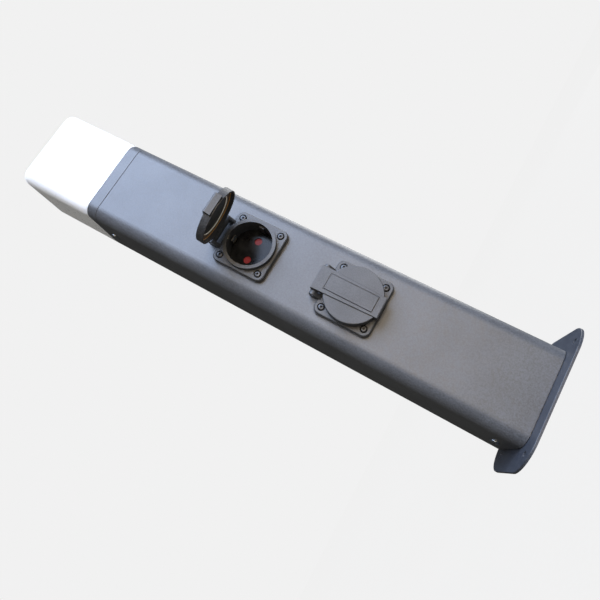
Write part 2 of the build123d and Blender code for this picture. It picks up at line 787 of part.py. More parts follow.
def build_lid(side, z, angle):
    """One hinged lid with its seal, swung open by angle."""
    outward = hinge_plane(z, angle, 0).z_dir
    centre = (0, -hinge_reach)

    with BuildPart() as lid:
        with BuildSketch(hinge_plane(z, angle, lid_underside)):
            with Locations(centre):
                Circle(lid_r)
        extrude(amount=lid_plate)
        fillet(lid.faces().sort_by(Axis((0, 0, 0), outward))[-1].edges(), lid_edge_round)
        with BuildSketch(hinge_plane(z, angle, skirt_bottom)):
            with Locations(centre):
                Circle(lid_r)
                Circle(skirt_inner_r, mode=Mode.SUBTRACT)
        extrude(amount=lid_underside - skirt_bottom)
        with BuildSketch(hinge_plane(z, angle, lid_underside)):
            with BuildLine():
                Polyline(
                    (-band_hinge_half, band_back),
                    (band_hinge_half, band_back),
                    (band_front_half, -hinge_reach - lid_r - band_front),
                    (-band_front_half, -hinge_reach - lid_r - band_front),
                    close=True,
                )
            make_face()
        extrude(amount=band_face - lid_underside)
        along = Axis((0, 0, 0), hinge_plane(z, angle, 0).y_dir)
        rim = lid.faces().sort_by(Axis((0, 0, 0), outward))[-1].edges().sort_by(along)
        fillet(rim[0], band_nose)
        rim = lid.faces().sort_by(Axis((0, 0, 0), outward))[-1].edges().sort_by(along)
        fillet(rim[1:], band_round)
        with BuildSketch(hinge_plane(z, angle, band_face)):
            with Locations((0, lid_r - panel_inset - panel_length / 2 - hinge_reach)):
                Rectangle(2 * panel_half, panel_length)
        extrude(amount=panel_rise, taper=panel_slope)
        with BuildSketch(hinge_plane(z, angle, band_face)):
            with Locations((0, lid_r - panel_inset - panel_length / 2 - hinge_reach)):
                Rectangle(2 * (panel_half + panel_groove), panel_length + 2 * panel_groove)
                Rectangle(2 * panel_half, panel_length, mode=Mode.SUBTRACT)
        extrude(amount=-panel_groove_depth, mode=Mode.SUBTRACT)
        with BuildSketch(hinge_plane(z, angle, skirt_bottom + lip_rise)):
            with Locations((0, -hinge_reach - (lid_r + band_front) / 2)):
                Rectangle(2 * band_front_half, lid_r + band_front)
            with Locations(centre):
                Circle(skirt_inner_r, mode=Mode.SUBTRACT)
        extrude(amount=lid_underside - skirt_bottom - lip_rise)
        knuckle = Plane(
            origin=(-band_hinge_half, front_y - hinge_height, z + hinge_reach),
            x_dir=outward,
            z_dir=(1, 0, 0),
        )
        with BuildSketch(knuckle):
            Circle(knuckle_r)
            rise = lid_underside - hinge_height
            with Locations((rise / 2, (knuckle_r - band_back) / 2)):
                Rectangle(rise, knuckle_r + band_back)
            Circle(hinge_pin_r + pin_gap, mode=Mode.SUBTRACT)
        extrude(amount=2 * band_hinge_half)
    save(lid, f"{side}_lid")

    with BuildPart() as seal:
        with BuildSketch(hinge_plane(z, angle, rim_top + lid_seal_gap)):
            with Locations(centre):
                Circle(skirt_inner_r - lid_seal_side_gap)
                Circle(skirt_inner_r - lid_seal_width, mode=Mode.SUBTRACT)
        extrude(amount=lid_seal_thick)
    save(seal, f"{side}_lid_seal")


for side, z, angle in outlets:
    build_outlet(side, z)
    build_lid(side, z, angle)
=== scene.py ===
"""Looks of an outdoor charging post.

A powder-coated profile carries two lidded sockets and an opal lamp head.
"""

import json
import math

import bpy
from bpy.props import FloatProperty, FloatVectorProperty, IntProperty, PointerProperty
from mathutils import Matrix, Vector


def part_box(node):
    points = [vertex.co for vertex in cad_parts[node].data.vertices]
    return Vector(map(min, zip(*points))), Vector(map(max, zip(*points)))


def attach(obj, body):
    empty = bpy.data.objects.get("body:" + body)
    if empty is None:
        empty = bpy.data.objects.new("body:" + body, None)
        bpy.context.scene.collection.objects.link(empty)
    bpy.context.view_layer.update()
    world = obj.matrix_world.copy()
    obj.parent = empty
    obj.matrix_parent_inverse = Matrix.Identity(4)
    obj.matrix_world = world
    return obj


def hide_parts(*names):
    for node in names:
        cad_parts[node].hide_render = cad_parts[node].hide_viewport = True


bl_info = {
    "name": "Charging Post Finish",
    "version": (1, 0, 0),
    "blender": (4, 5, 0),
    "location": "3D View > Sidebar > Charging Post",
    "description": "Coats, moulded plastics, screws, seals and lamp of an outdoor charging post",
    "category": "Object",
}

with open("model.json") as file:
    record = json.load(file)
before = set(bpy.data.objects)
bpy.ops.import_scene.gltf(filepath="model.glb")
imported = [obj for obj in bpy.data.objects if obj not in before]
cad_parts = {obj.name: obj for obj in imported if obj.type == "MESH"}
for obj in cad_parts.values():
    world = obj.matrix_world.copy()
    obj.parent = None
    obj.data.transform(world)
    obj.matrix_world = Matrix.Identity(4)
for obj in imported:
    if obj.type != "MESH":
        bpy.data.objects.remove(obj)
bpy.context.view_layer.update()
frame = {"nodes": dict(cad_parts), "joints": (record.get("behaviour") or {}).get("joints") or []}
NODES = frame["nodes"]
OUTLETS = ("upper", "lower")
MM = 0.001

# the grain that every material shares
CLOUD = 30.0  # width of the slow change in tone, in grains
CLOUD_WEIGHT = 0.25  # of the slow change against the grain
CREST = (0.45, 0.8)  # heights of the grain between which the tone goes over to the fleck
SLOPE = (0.3, 0.7)  # heights of the grain over which the roughness rises
SMOOTHEST = 0.02  # no roughness falls below this

# facets of the round shapes
SCREW_SIDES = 40
HOOP_STEPS = 128
BEAD_SIDES = 14
COIL_STEPS = 40  # in one turn
WIRE_SIDES = 12
SHARP_EDGE = math.radians(38)
WELD = 1e-6  # points nearer than this, in metres, are one

# a screw's domed head: the rise of each step as a share of its height, and the ring it reaches
# as a share of its radius
DOME = ((0.3, 1.0), (0.2, 0.965), (0.2, 0.9), (0.18, 0.78), (0.12, 0.55))
LOBES = 6
LOBE_VALLEY = 0.74  # inner reach of the recess as a share of its outer reach

# a lamp chip's two solids: sides, reach as a share of its width, height as a share of its own
CHIP_BODY = (4, 0.7071, 0.8)  # a square reaches half its diagonal
CHIP_WINDOW = (20, 0.38, 1.0)
CHIP_TAPER = 0.92  # top of each solid as a share of its bottom

# the studio, in metres
FLOOR_REACH = 6.0
AIM = (0.0, 0.0, 0.25)  # half-way up the post
HIGH_PANEL = ((0.62, -1.53, 1.6), (1.8, 1.8))  # place, then width and height
FRONT_PANEL = ((0.35, -2.16, 0.15), (1.8, 1.0))
SIDE_PANEL = ((1.55, 0.55, 0.55), (1.2, 1.2))
EYE = (-0.10697, -0.42357, 0.09819)
EYE_RIGHT = (0.4981, 0.1137, -0.85963)  # the camera lies on its side
EYE_DOWN = (-0.84106, 0.30455, -0.44706)
SENSOR_MM = 36.0
NEAR, FAR = 0.01, 50.0


def linear(code):
    """Scene-linear colour, with alpha, of an sRGB hex code."""
    values = [int(code[i : i + 2], 16) / 255 for i in (1, 3, 5)]
    return (*(v / 12.92 if v <= 0.04045 else ((v + 0.055) / 1.055) ** 2.4 for v in values), 1.0)


def add(tree, kind, links=None, **settings):
    """Adds a node.

    links maps an input's name or number to a value, to a node, which gives its first output, or to
    one of a node's outputs.
    """
    node = tree.nodes.new(kind)
    for key, value in settings.items():
        setattr(node, key, value)
    for key, value in (links or {}).items():
        if isinstance(value, bpy.types.Node):
            value = value.outputs[0]
        if isinstance(value, bpy.types.NodeSocket):
            tree.links.new(value, node.inputs[key])
        else:
            node.inputs[key].default_value = value
    return node


def colour(name, code, description):
    """A colour that a user may change, given as a hex code."""
    return FloatVectorProperty(
        name=name,
        description=description,
        default=linear(code),
        subtype="COLOR",
        size=4,
        min=0.0,
        max=1.0,
    )


def length(name, millimetres, description):
    """A length that a user may change, given in millimetres."""
    return FloatProperty(
        name=name,
        description=description,
        default=millimetres * MM,
        min=0.0,
        unit="LENGTH",
        precision=5,
    )


def share(name, value, description):
    """A share from 0 to 1 that a user may change."""
    return FloatProperty(
        name=name,
        description=description,
        default=value,
        min=0.0,
        max=1.0,
        subtype="FACTOR",
    )


def power(name, watts, description):
    """A light's power that a user may change."""
    return FloatProperty(name=name, description=description, default=watts, min=0.0, unit="POWER")


def strength(name, value, description):
    """The strength of a glow that a user may change."""
    return FloatProperty(name=name, description=description, default=value, min=0.0)


class CoatSettings(bpy.types.PropertyGroup):
    """Powder coat of the profile, the collar and the base plate."""

    tone: colour("Coat", "#37383A", "Anthracite of the powder coat")
    fleck: colour("Fleck", "#4D4F52", "Lighter crests of the coat's grain")
    # painted reflection: the plate's coat is the profile's powder coat drawn darker and bluer, its
    # blue standing in for the cool light it reflects from above
    plate: colour("Plate", "#20252E", "Darker, bluer batch of coat on the base plate")
    grain: length("Grain", 1.1, "Width of the coat's grain")
    depth: length("Grain depth", 0.1, "Height of the coat's grain")
    roughness: share("Roughness", 0.47, "Roughness of the coat")


class SocketSettings(bpy.types.PropertyGroup):
    """Moulded pieces of the outlets."""

    housing: colour("Housing", "#1A1B1D", "Flange and rim of an outlet")
    lid: colour("Lid", "#17181A", "Lid of an outlet")
    insert: colour("Insert", "#060607", "Insert in the plug recess")
    shutter: colour("Shutter", "#70050F", "Shutter behind the pin holes")
    texture: length("Texture", 0.8, "Width of the spark-eroded texture")
    roughness: share("Roughness", 0.55, "Roughness of the textured plastic")


class SealSettings(bpy.types.PropertyGroup):
    """Seals in the lids."""

    # painted highlight: the lip's pale tone stands in for light on the lip's edge
    lip: colour("Lip", "#EAE4D6", "Thin lip on the inner edge of a lid seal")
    web: colour("Web", "#4A3115", "Flat web of a lid seal")
    # painted highlight: the bead's golden tone stands in for light along the seal's outer edge
    bead: colour("Bead", "#A9752E", "Outer bead of a lid seal")
    lip_radius: length("Lip radius", 0.45, "Radius of the lip")
    bead_radius: length("Bead radius", 0.35, "Radius of the outer bead")
    web_share: share("Web share", 0.45, "Thickness of the web as a share of the seal's")


class LampSettings(bpy.types.PropertyGroup):
    """Opal head and its board."""

    opal: colour("Opal", "#EDEEF1", "Opal polycarbonate of the diffuser")
    board: colour("Board", "#E9ECE8", "Solder mask of the lamp board")
    package: colour("Package", "#F2F0E6", "Moulded body of a lamp chip")
    phosphor: colour("Phosphor", "#D9B92E", "Phosphor window of a lamp chip")
    columns: IntProperty(name="Columns", description="Lamp chips across the board", default=4, min=1)
    rows: IntProperty(name="Rows", description="Lamp chips along the board", default=3, min=1)
    chip: length("Chip", 3.5, "Width of a lamp chip")


class ScrewSettings(bpy.types.PropertyGroup):
    """Sizes and finish of the screws that show."""

    flange_radius: length("Flange head radius", 3.0, "Head radius of the outlets' screws")
    flange_height: length("Flange head height", 1.7, "Head height of the outlets' screws")
    flange_shank: length("Flange shank radius", 1.5, "Shank radius of the outlets' screws")
    side_height: length("Side head height", 1.8, "Head height of the side screws")
    side_shank: length("Side shank radius", 2.0, "Shank radius of the side screws")
    side_reach: length("Side reach", 5.25, "Length of a side screw under its head")
    recess: share("Recess", 0.44, "Reach of the recess as a share of the head's radius")
    recess_depth: share("Recess depth", 0.85, "Depth of the recess as a share of the head's height")
    black: colour("Black zinc", "#38393B", "Black zinc of the outlets' screws")
    # painted shade: the recess of a screw is drawn nearly black so that it reads as a hole
    hollow: colour("Recess", "#050505", "Unplated, oiled hollow of a recess")
    zinc: colour("Bright zinc", "#A9AEB2", "Bright zinc of the side screws")


class MetalSettings(bpy.types.PropertyGroup):
    """Metal inside the post and the outlets."""

    zinc: colour("Zinc", "#A9AEB2", "Bright zinc plating")
    nickel: colour("Nickel", "#C8C3B8", "Nickel plating of the earth clips")
    brass: colour("Brass", "#B58D3C", "Contact sleeves")
    spring: colour("Spring", "#8C8F93", "Drawn spring wire")
    wire_radius: length("Wire radius", 0.2, "Radius of the shutter springs' wire")
    turns: FloatProperty(name="Turns", description="Turns of a shutter spring", default=3.0, min=1.0)


class TrimSettings(bpy.types.PropertyGroup):
    """Rubber, foam and wiring."""

    rubber: colour("Rubber", "#101011", "Moulded rubber of gaskets and the grommet")
    foam: colour("Foam", "#2A2A2B", "Foam pad under the lamp driver")
    sheath: colour("Sheath", "#1B1C1E", "Sheath of the leads")
    terminal: colour("Terminal", "#B9BAB4", "Terminal block")
    driver: colour("Driver", "#E4E5E3", "Shell of the lamp driver")


class StageSettings(bpy.types.PropertyGroup):
    """Floor, studio light and camera."""

    floor: colour("Floor", "#0E0E0E", "Tone of the floor's card, apart from its own light")
    glow: strength("Floor glow", 0.868, "Light of the floor's card")
    glow_tone: colour("Glow tone", "#FFFFFF", "Tone of the light of the floor and the backdrop")
    backdrop: strength("Backdrop", 0.88, "Light of the backdrop")
    room: colour("Room", "#FFFDF8", "Tone of the room's light on the post")
    room_light: strength("Room light", 0.48, "The room's light on matt surfaces")
    room_shine: strength("Room shine", 0.06, "The room's light in reflections")
    cool: colour("Cool light", "#C8DCFF", "Tone of the high panel")
    warm: colour("Warm light", "#FFEBD0", "Tone of the front panel")
    plain: colour("Plain light", "#FFFFFF", "Tone of the side panel")
    high_power: power("High panel", 150.0, "Power of the panel above the front")
    front_power: power("Front panel", 52.0, "Power of the panel before the front")
    side_power: power("Side panel", 22.0, "Power of the panel on the far side")
    lens: FloatProperty(
        name="Lens", description="Focal length", default=30.08, min=1.0, unit="CAMERA"
    )


def surface(name, tone, fleck, grain, depth, roughness, spread=0.06, **shader_values):
    """A material with an even grain: its tone, roughness and height follow the same noise.

    tone goes over to fleck on the grain's crests. grain is the grain's width and depth its height,
    and the roughness strays by spread to either side.
    """
    material = bpy.data.materials.new(name)
    material.use_nodes = True
    tree = material.node_tree
    tree.nodes.clear()
    place = add(tree, "ShaderNodeTexCoord").outputs["Object"]
    # most real skins have a grain finer than 0.1 mm: here it is as coarse as it needs to show
    fine = add(
        tree,
        "ShaderNodeTexNoise",
        {"Vector": place, "Scale": 1 / grain, "Detail": 3.0, "Roughness": 0.6},
    ).outputs["Fac"]
    slow = add(
        tree,
        "ShaderNodeTexNoise",
        {"Vector": place, "Scale": 1 / (CLOUD * grain), "Detail": 2.0},
    ).outputs["Fac"]
    drift = add(tree, "ShaderNodeMath", {0: slow, 1: CLOUD_WEIGHT}, operation="MULTIPLY")
    both = add(tree, "ShaderNodeMath", {0: fine, 1: drift}, operation="ADD")
    crest = add(
        tree, "ShaderNodeMapRange", {"Value": both, "From Min": CREST[0], "From Max": CREST[1]}
    )
    tint = add(tree, "ShaderNodeMix", {0: crest, 6: tone, 7: fleck}, data_type="RGBA")
    rough = add(
        tree,
        "ShaderNodeMapRange",
        {
            "Value": fine,
            "From Min": SLOPE[0],
            "From Max": SLOPE[1],
            "To Min": max(roughness - spread, SMOOTHEST),
            "To Max": roughness + spread,
        },
    )
    bump = add(tree, "ShaderNodeBump", {"Height": fine, "Strength": 0.5, "Distance": depth})
    shader = add(
        tree,
        "ShaderNodeBsdfPrincipled",
        {"Base Color": tint.outputs[2], "Roughness": rough, "Normal": bump, **shader_values},
    )
    add(tree, "ShaderNodeOutputMaterial", {"Surface": shader})
    return material


def lighter(tone, by):
    """A tone moved towards white."""
    return (*(value + (1 - value) * by for value in tone[:3]), 1.0)


def finish(material, *names):
    """Gives CAD nodes their material."""
    for name in names:
        mesh = NODES[name].data
        mesh.materials.clear()
        mesh.materials.append(material)


def each(*names):
    """The CAD nodes of both outlets with these names."""
    return [f"{outlet}_{name}" for outlet in OUTLETS for name in names]


def new_tree(name, **inputs):
    """A geometry tree with a float, whole-number or material input for each name.

    Returns the tree and the outputs of its group input.
    """
    kinds = {float: "NodeSocketFloat", int: "NodeSocketInt", None: "NodeSocketMaterial"}
    tree = bpy.data.node_groups.new(name, "GeometryNodeTree")
    tree.interface.new_socket("Geometry", in_out="INPUT", socket_type="NodeSocketGeometry")
    for label, kind in inputs.items():
        label = label.replace("_", " ")
        tree.interface.new_socket(label, in_out="INPUT", socket_type=kinds[kind])
    tree.interface.new_socket("Geometry", in_out="OUTPUT", socket_type="NodeSocketGeometry")
    return tree, add(tree, "NodeGroupInput").outputs


def end_tree(tree, *pieces):
    """Joins the nodes that make a tree's pieces, makes the result real and ends the tree."""
    join = add(tree, "GeometryNodeJoinGeometry")
    for piece in pieces:
        tree.links.new(piece.outputs[0], join.inputs[0])
    real = add(tree, "GeometryNodeRealizeInstances", {0: join})
    add(tree, "NodeGroupOutput", {0: real})


def grown(name, tree, values, seats=((0, 0, 0),), outward=None, place=None):
    """Runs a tree on points and returns the result as a plain object.

    seats are the points, outward the way each one faces, and place is where the result goes.
    """
    mesh = bpy.data.meshes.new(name)
    mesh.from_pydata([tuple(seat) for seat in seats], [], [])
    if outward:
        facing = mesh.attributes.new("outward", "FLOAT_VECTOR", "POINT")
        facing.data.foreach_set("vector", [value for vector in outward for value in vector])
    source = bpy.data.objects.new(name, mesh)
    bpy.context.scene.collection.objects.link(source)
    modifier = source.modifiers.new("Tree", "NODES")
    modifier.node_group = tree
    sockets = {
        item.name: item.identifier
        for item in tree.interface.items_tree
        if item.in_out == "INPUT"
    }
    for label, value in values.items():
        modifier[sockets[label]] = value
    evaluated = source.evaluated_get(bpy.context.evaluated_depsgraph_get())
    made = bpy.data.meshes.new_from_object(evaluated)
    bpy.data.objects.remove(source)
    if not made.polygons:
        raise RuntimeError(f"{name}: the tree made no faces")
    made.name = name
    made.transform(place or Matrix())
    made.shade_smooth()
    made.set_sharp_from_angle(angle=SHARP_EDGE)
    piece = bpy.data.objects.new(name, made)
    bpy.context.scene.collection.objects.link(piece)
    return piece


def screw_tree():
    """A domed screw with a lobed recess on each point, facing the point's outward vector."""
    tree, given = new_tree(
        "Domed screw",
        Head_Radius=float,
        Head_Height=float,
        Shank_Radius=float,
        Shank_Length=float,
        Recess_Radius=float,
        Recess_Depth=float,
        Material=None,
        Hollow=None,
    )
    head, height, shank = given["Head Radius"], given["Head Height"], given["Shank Radius"]
    disc = add(
        tree,
        "GeometryNodeMeshCircle",
        {"Vertices": SCREW_SIDES, "Radius": shank},
        fill_type="NGON",
    )
    low = add(tree, "ShaderNodeMath", {0: given["Shank Length"], 1: -1.0}, operation="MULTIPLY")
    tip = add(tree, "ShaderNodeCombineXYZ", {"Z": low})
    body = add(tree, "GeometryNodeTransform", {"Geometry": disc, "Translation": tip})
    foot = add(tree, "GeometryNodeFlipFaces", {0: body})
    # the disc rises along the shank, widens under the head and then goes up the dome
    wider = add(tree, "ShaderNodeMath", {0: head, 1: shank}, operation="DIVIDE")
    steps = [(given["Shank Length"], 1.0), (0.0, wider)]
    ring = 1.0
    for rise, reach in DOME:
        climb = add(tree, "ShaderNodeMath", {0: height, 1: rise}, operation="MULTIPLY")
        steps.append((climb, reach / ring))
        ring = reach
    top = True
    for rise, scale in steps:
        push = add(
            tree,
            "GeometryNodeExtrudeMesh",
            {
                "Mesh": body,
                "Selection": top,
                "Offset": (0, 0, 1),
                "Offset Scale": rise,
                "Individual": False,
            },
        )
        top = push.outputs["Top"]
        body = add(
            tree, "GeometryNodeScaleElements", {"Geometry": push, "Selection": top, "Scale": scale}
        )
    closed = add(tree, "GeometryNodeJoinGeometry")
    for part in (foot, body):
        tree.links.new(part.outputs[0], closed.inputs[0])
    solid = add(tree, "GeometryNodeMergeByDistance", {"Geometry": closed, "Distance": WELD})
    reach, depth = given["Recess Radius"], given["Recess Depth"]
    valley = add(tree, "ShaderNodeMath", {0: reach, 1: LOBE_VALLEY}, operation="MULTIPLY")
    lobes = add(
        tree,
        "GeometryNodeCurveStar",
        {"Points": LOBES, "Inner Radius": valley, "Outer Radius": reach},
    )
    # the punch goes as far above the head as it goes into it
    under, over = (
        add(
            tree,
            "ShaderNodeCombineXYZ",
            {"Z": add(tree, "ShaderNodeMath", {0: height, 1: depth}, operation=operation)},
        )
        for operation in ("SUBTRACT", "ADD")
    )
    well = add(tree, "GeometryNodeCurvePrimitiveLine", {"Start": under, "End": over})
    punch = add(
        tree,
        "GeometryNodeCurveToMesh",
        {"Curve": well, "Profile Curve": lobes, "Fill Caps": True},
    )
    # the punch's faces take the recess colour, which is painted shade
    plated, shaded = (
        add(tree, "GeometryNodeSetMaterial", {"Geometry": shape, "Material": material})
        for shape, material in ((solid, given["Material"]), (punch, given["Hollow"]))
    )
    cut = add(
        tree,
        "GeometryNodeMeshBoolean",
        {"Mesh 1": plated, "Mesh 2": shaded},
        operation="DIFFERENCE",
    )
    facing = add(
        tree, "GeometryNodeInputNamedAttribute", {"Name": "outward"}, data_type="FLOAT_VECTOR"
    )
    turned = add(tree, "FunctionNodeAlignRotationToVector", {"Vector": facing}, axis="Z")
    placed = add(
        tree,
        "GeometryNodeInstanceOnPoints",
        {"Points": given["Geometry"], "Instance": cut, "Rotation": turned},
    )
    end_tree(tree, placed)
    return tree


def painted_shade_material(s):
    """Surface of a screw's recess, drawn nearly black as painted shade."""
    # bare steel, dull and dark, drawn nearly black as painted shade so that the recess reads as a
    # hole
    return surface(
        "Steel_recess_painted_shade", s.hollow, lighter(s.hollow, 0.03), 0.4 * MM, 0.01 * MM, 0.7
    )


def hoop(tree, radius, height, profile, material):
    """A profile swept round a circle at a height."""
    path = add(
        tree, "GeometryNodeCurvePrimitiveCircle", {"Resolution": HOOP_STEPS, "Radius": radius}
    )
    swept = add(tree, "GeometryNodeCurveToMesh", {"Curve": path, "Profile Curve": profile})
    up = add(tree, "ShaderNodeCombineXYZ", {"Z": height})
    raised = add(tree, "GeometryNodeTransform", {"Geometry": swept, "Translation": up})
    return add(tree, "GeometryNodeSetMaterial", {"Geometry": raised, "Material": material})


def seal_tree():
    """A flat ring with a thin lip on its inner edge and a bead on its outer edge."""
    tree, given = new_tree(
        "Lip seal",
        Inner_Radius=float,
        Outer_Radius=float,
        Thickness=float,
        Web_Thickness=float,
        Lip_Radius=float,
        Bead_Radius=float,
        Lip=None,
        Web=None,
        Bead=None,
    )
    inner, outer, thickness = given["Inner Radius"], given["Outer Radius"], given["Thickness"]
    lip, bead, web = given["Lip Radius"], given["Bead Radius"], given["Web Thickness"]
    round_lip, round_bead = (
        add(
            tree, "GeometryNodeCurvePrimitiveCircle", {"Resolution": BEAD_SIDES, "Radius": radius}
        )
        for radius in (lip, bead)
    )
    # the web fills what the lip and the bead leave of the ring's width
    ring = add(tree, "ShaderNodeMath", {0: outer, 1: inner}, operation="SUBTRACT")
    edges = add(tree, "ShaderNodeMath", {0: lip, 1: bead}, operation="ADD")
    width = add(tree, "ShaderNodeMath", {0: ring, 1: edges}, operation="SUBTRACT")
    flat = add(
        tree, "GeometryNodeCurvePrimitiveQuadrilateral", {"Width": width, "Height": web}
    )
    both = add(tree, "ShaderNodeMath", {0: outer, 1: inner}, operation="ADD")
    middle = add(tree, "ShaderNodeMath", {0: both, 1: 0.5}, operation="MULTIPLY")
    half_web = add(tree, "ShaderNodeMath", {0: web, 1: 0.5}, operation="MULTIPLY")
    level = add(tree, "ShaderNodeMath", {0: thickness, 1: half_web}, operation="SUBTRACT")
    lip_path = add(tree, "ShaderNodeMath", {0: inner, 1: lip}, operation="ADD")
    lip_level = add(tree, "ShaderNodeMath", {0: thickness, 1: web}, operation="SUBTRACT")
    bead_path = add(tree, "ShaderNodeMath", {0: outer, 1: bead}, operation="SUBTRACT")
    end_tree(
        tree,
        hoop(tree, lip_path, lip_level, round_lip, given["Lip"]),
        hoop(tree, middle, level, flat, given["Web"]),
        hoop(tree, bead_path, bead, round_bead, given["Bead"]),
    )
    return tree


def chip_tree():
    """A grid of lamp chips, each a moulded body with a domed phosphor window."""
    tree, given = new_tree(
        "Lamp chips",
        Columns=int,
        Rows=int,
        Width=float,
        Depth=float,
        Chip=float,
        Height=float,
        Body=None,
        Window=None,
    )
    grid = add(
        tree,
        "GeometryNodeMeshGrid",
        {
            "Size X": given["Width"],
            "Size Y": given["Depth"],
            "Vertices X": given["Columns"],
            "Vertices Y": given["Rows"],
        },
    )
    pieces = []
    for solid, material in ((CHIP_BODY, given["Body"]), (CHIP_WINDOW, given["Window"])):
        sides, reach, rise = solid
        top, bottom, height = (
            add(tree, "ShaderNodeMath", {0: size, 1: part}, operation="MULTIPLY")
            for size, part in (
                (given["Chip"], reach * CHIP_TAPER),
                (given["Chip"], reach),
                (given["Height"], rise),
            )
        )
        shape = add(
            tree,
            "GeometryNodeMeshCone",
            {"Vertices": sides, "Radius Top": top, "Radius Bottom": bottom, "Depth": height},
        )
        turned = add(
            tree, "GeometryNodeTransform", {"Geometry": shape, "Rotation": (0, 0, math.pi / sides)}
        )
        placed = add(tree, "GeometryNodeInstanceOnPoints", {"Points": grid, "Instance": turned})
        real = add(tree, "GeometryNodeRealizeInstances", {0: placed})
        pieces.append(
            add(tree, "GeometryNodeSetMaterial", {"Geometry": real, "Material": material})
        )
    end_tree(tree, *pieces)
    return tree


def spring_tree():
    """An open coil of round wire along Z."""
    tree, given = new_tree(
        "Coil spring",
        Coil_Radius=float,
        Wire_Radius=float,
        Turns=float,
        Length=float,
        Material=None,
    )
    path = add(
        tree,
        "GeometryNodeCurveSpiral",
        {
            "Resolution": COIL_STEPS,
            "Rotations": given["Turns"],
            "Start Radius": given["Coil Radius"],
            "End Radius": given["Coil Radius"],
            "Height": given["Length"],
        },
    )
    section = add(
        tree,
        "GeometryNodeCurvePrimitiveCircle",
        {"Resolution": WIRE_SIDES, "Radius": given["Wire Radius"]},
    )
    swept = add(
        tree,
        "GeometryNodeCurveToMesh",
        {"Curve": path, "Profile Curve": section, "Fill Caps": True},
    )
    end_tree(
        tree,
        add(tree, "GeometryNodeSetMaterial", {"Geometry": swept, "Material": given["Material"]}),
    )
    return tree


def stand_for(piece, body, slot, *nodes):
    """Lets a finished piece ride on its body and stand for CAD nodes."""
    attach(piece, body)
    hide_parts(*nodes)


class POST_OT_coat(bpy.types.Operator):
    """Powder-coats the profile, the collar and the base plate"""

    bl_idname = "post.coat"
    bl_label = "Powder Coat"

    def execute(self, context):
        s = context.scene.post_coat
        # polyester powder, sprayed and baked: an orange-peel grain that blurs the light into a soft
        # sheen, drawn two or three times as coarse as real so that it shows
        # the plate's copy of the coat is drawn darker and bluer; the blue is a painted reflection of
        # the cool light above
        coat, plate = (
            surface(name, tone, fleck, s.grain, s.depth, s.roughness, 0.09, IOR=1.5)
            for name, tone, fleck in (
                ("Powder_coat_polyester_baked", s.tone, s.fleck),
                ("Powder_coat_polyester_plate_painted_reflection", s.plate, lighter(s.plate, 0.04)),
            )
        )
        finish(coat, "post_profile", "top_collar")
        finish(plate, "base_plate")
        return {"FINISHED"}


class POST_OT_lamp(bpy.types.Operator):
    """Finishes the opal head and the lamp board"""

    bl_idname = "post.lamp"
    bl_label = "Lamp"

    def execute(self, context):
        s = context.scene.post_lamp
        # opal polycarbonate, moulded: light spreads a few millimetres inside it under a smooth skin
        opal = surface(
            "Polycarbonate_opal_moulded",
            s.opal,
            lighter(s.opal, 0.3),
            3 * MM,
            0.01 * MM,
            0.3,
            0.04,
            **{
                "IOR": 1.58,
                "Subsurface Weight": 1.0,
                "Subsurface Radius": (1.0, 1.0, 1.0),
                "Subsurface Scale": 12 * MM,
            },
        )
        # solder mask, printed and cured: bright white and nearly smooth
        board = surface(
            "Solder_mask_white_printed", s.board, lighter(s.board, 0.2), 2 * MM, 0.01 * MM, 0.35
        )
        finish(opal, "diffuser")
        finish(board, "led_board")
        return {"FINISHED"}


class POST_OT_chips(bpy.types.Operator):
    """Makes the lamp chips on the board"""

    bl_idname = "post.chips"
    bl_label = "Lamp Chips"

    def execute(self, context):
        s = context.scene.post_lamp
        low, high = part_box("led_chips")
        # polyphthalamide, moulded: a creamy white with a dull shine
        body = surface(
            "Polyphthalamide_chip_moulded",
            s.package,
            lighter(s.package, 0.3),
            0.4 * MM,
            0.01 * MM,
            0.45,
        )
        # silicone with phosphor powder, cast: a grainy yellow under a soft gloss
        window = surface(
            "Phosphor_silicone_cast",
            s.phosphor,
            lighter(s.phosphor, 0.2),
            0.3 * MM,
            0.02 * MM,
            0.35,
        )
        piece = grown(
            "lamp_chips",
            chip_tree(),
            {
                "Columns": s.columns,
                "Rows": s.rows,
                "Width": high.x - low.x - s.chip,
                "Depth": high.y - low.y - s.chip,
                "Chip": s.chip,
                "Height": high.z - low.z,
                "Body": body,
                "Window": window,
            },
            place=Matrix.Translation(((low.x + high.x) / 2, (low.y + high.y) / 2, low.z)),
        )
        stand_for(piece, "post", "led_phosphor", "led_chips")
        return {"FINISHED"}


class POST_OT_outlets(bpy.types.Operator):
    """Finishes the moulded pieces of the outlets"""

    bl_idname = "post.outlets"
    bl_label = "Outlets"

    def execute(self, context):
        s = context.scene.post_socket
        # glass-filled polyamide from a spark-eroded mould: a dull, slightly pitted black, with the
        # pits drawn coarser than real so that they show
        housing, lid = (
            surface(
                name, tone, lighter(tone, 0.05), s.texture, 0.12 * MM, s.roughness, 0.1, IOR=1.53
            )
            for name, tone in (
                ("Polyamide_housing_moulded", s.housing),
                ("Polyamide_lid_moulded", s.lid),
            )
        )
        # urea from a polished mould: near black, with small sharp highlights
        insert = surface(
            "Urea_insert_polished_mould",
            s.insert,
            lighter(s.insert, 0.01),
            9 * MM,
            0.004 * MM,
            0.2,
            0.03,
            **{"Specular IOR Level": 0.12},
        )
        # acetal, moulded: a full red with a soft, waxy shine
        shutter = surface(
            "Acetal_shutter_moulded",
            s.shutter,
            lighter(s.shutter, 0.03),
            1 * MM,
            0.01 * MM,
            0.3,
            0.04,
            **{"Specular IOR Level": 0.15},
        )
        finish(housing, *each("socket_housing"))
        finish(lid, *each("lid"))
        finish(insert, *each("socket_insert", "contact_base"))
        finish(shutter, *each("shutter"))
        return {"FINISHED"}


